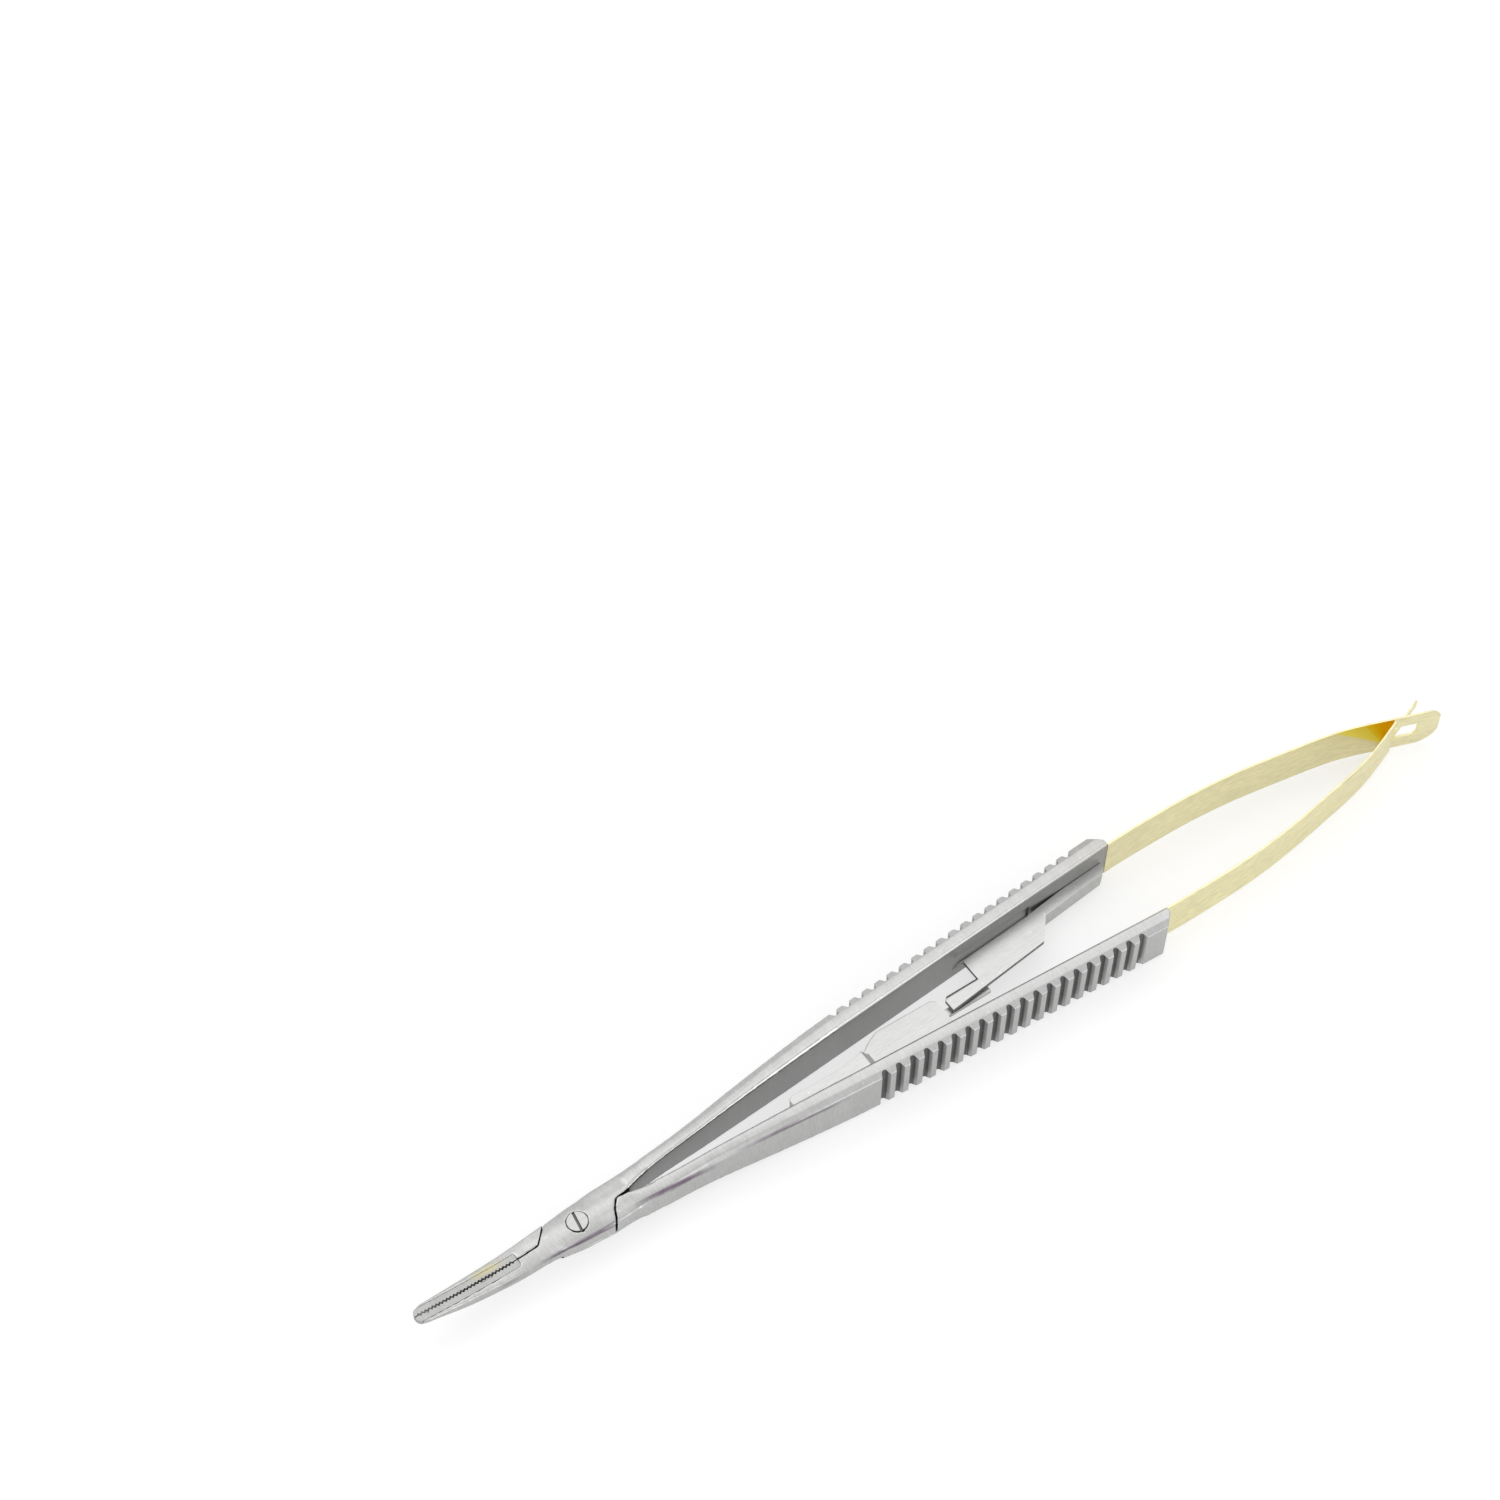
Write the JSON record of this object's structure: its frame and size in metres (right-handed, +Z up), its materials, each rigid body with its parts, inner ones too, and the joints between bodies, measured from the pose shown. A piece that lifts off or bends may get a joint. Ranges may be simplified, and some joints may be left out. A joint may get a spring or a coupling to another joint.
{
  "type": "needle holder",
  "caption": "Spring-handle micro needle holder: crossing arms on a slotted pivot screw, grooved grips, inner catch lock, hard jaw inserts, leaf springs that interlock at the tail.",
  "frame": {"origin": "under the middle of the whole instrument, on the surface it lies on", "axes": "+X from the jaws to the tail, +Z up when it lies on its handles, +Y towards the arm whose lap lies above"},
  "size_m": [0.158, 0.0164, 0.007],
  "materials": {
    "satin_steel": "satin, fine cross brush marks on the upper faces",
    "hard_insert": "fine cross serrations",
    "screw_steel": "turned, slotted",
    "gilt_spring": "pale gold, satin",
    "catch_steel": "polished sheet"
  },
  "bodies": {
    "lower_arm": {"lower_lap_arm": "satin_steel", "rear_jaw_insert": "hard_insert", "front_catch": "catch_steel", "pivot_screw": "screw_steel"},
    "upper_arm": {"upper_lap_arm": "satin_steel", "front_jaw_insert": "hard_insert", "rear_catch": "catch_steel"},
    "rear_leaf": {"rear_spring": "gilt_spring"},
    "front_leaf": {"front_spring": "gilt_spring"}
  },
  "joints": [
    {"name": "pivot", "type": "hinge", "parent": "lower_arm", "child": "upper_arm", "pos_m": [-0.05664, 0, 0.0035], "axis": [0, 0, 1], "range_deg": [0, 8]},
    {"name": "rear_spring_bend", "type": "hinge", "parent": "upper_arm", "child": "rear_leaf", "pos_m": [0.02846, 0.00598, 0.0035], "axis": [0, 0, 1], "range_deg": [-11.67, 0]},
    {"name": "front_spring_bend", "type": "hinge", "parent": "lower_arm", "child": "front_leaf", "pos_m": [0.02846, -0.00598, 0.0035], "axis": [0, 0, 1], "range_deg": [0, 11.67]}
  ],
  "couplings": [
    {"joint": "rear_spring_bend", "follows": "pivot", "ratio": -1.4519},
    {"joint": "front_spring_bend", "follows": "pivot", "ratio": 1.4519}
  ]
}
